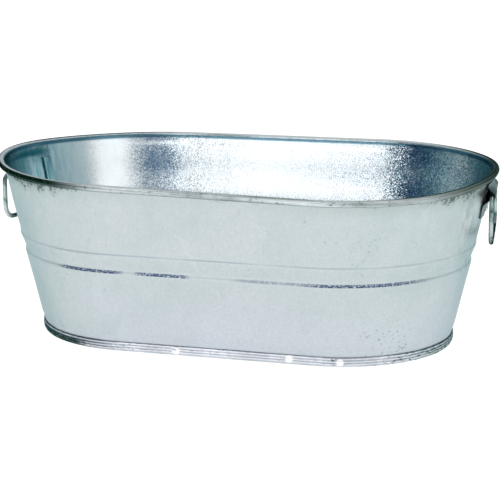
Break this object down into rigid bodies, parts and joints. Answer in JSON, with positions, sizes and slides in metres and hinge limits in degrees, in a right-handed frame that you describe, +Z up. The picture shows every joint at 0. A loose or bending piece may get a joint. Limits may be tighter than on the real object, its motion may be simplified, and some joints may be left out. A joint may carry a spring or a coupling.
{
  "type": "livestock water trough",
  "caption": "Galvanised oval tub with straight sides, round ends, swaged wall, rolled rim and wire drop handles, used as a livestock water trough.",
  "frame": {"origin": "bottom centre of the tub, on the floor", "axes": "+X along the length towards the right handle, +Y from the front wall to the back wall, +Z up out of the open mouth"},
  "size_m": [0.6156, 0.3714, 0.2119],
  "materials": {
    "galvanised_sheet": "hot-dip galvanised, matte and mottled outside, brighter with fine spangle inside",
    "galvanised_pan": "hot-dip galvanised, semi-bright",
    "galvanised_wire": "galvanised round wire, semi-bright",
    "galvanised_ear": "galvanised bent sheet, satin",
    "galvanised_rivet": "galvanised rivet, semi-bright"
  },
  "bodies": {
    "tub": {"front_shell": "galvanised_sheet", "back_shell": "galvanised_sheet", "rim_wire": "galvanised_wire", "bottom_pan": "galvanised_pan", "right_ear": "galvanised_ear", "left_ear": "galvanised_ear", "right_rivet_a": "galvanised_rivet", "right_rivet_b": "galvanised_rivet", "left_rivet_a": "galvanised_rivet", "left_rivet_b": "galvanised_rivet"},
    "right_bail": {"right_bail": "galvanised_wire"},
    "left_bail": {"left_bail": "galvanised_wire"}
  },
  "joints": [
    {"name": "right_bail_swing", "type": "hinge", "parent": "tub", "child": "right_bail", "pos_m": [0.29686, 0.02495, 0.185], "axis": [0.1392, -0.9903, 0], "range_deg": [-12, 165]},
    {"name": "left_bail_swing", "type": "hinge", "parent": "tub", "child": "left_bail", "pos_m": [-0.29245, 0.03997, 0.178], "axis": [0.225, 0.9744, 0], "range_deg": [-12, 165]}
  ]
}
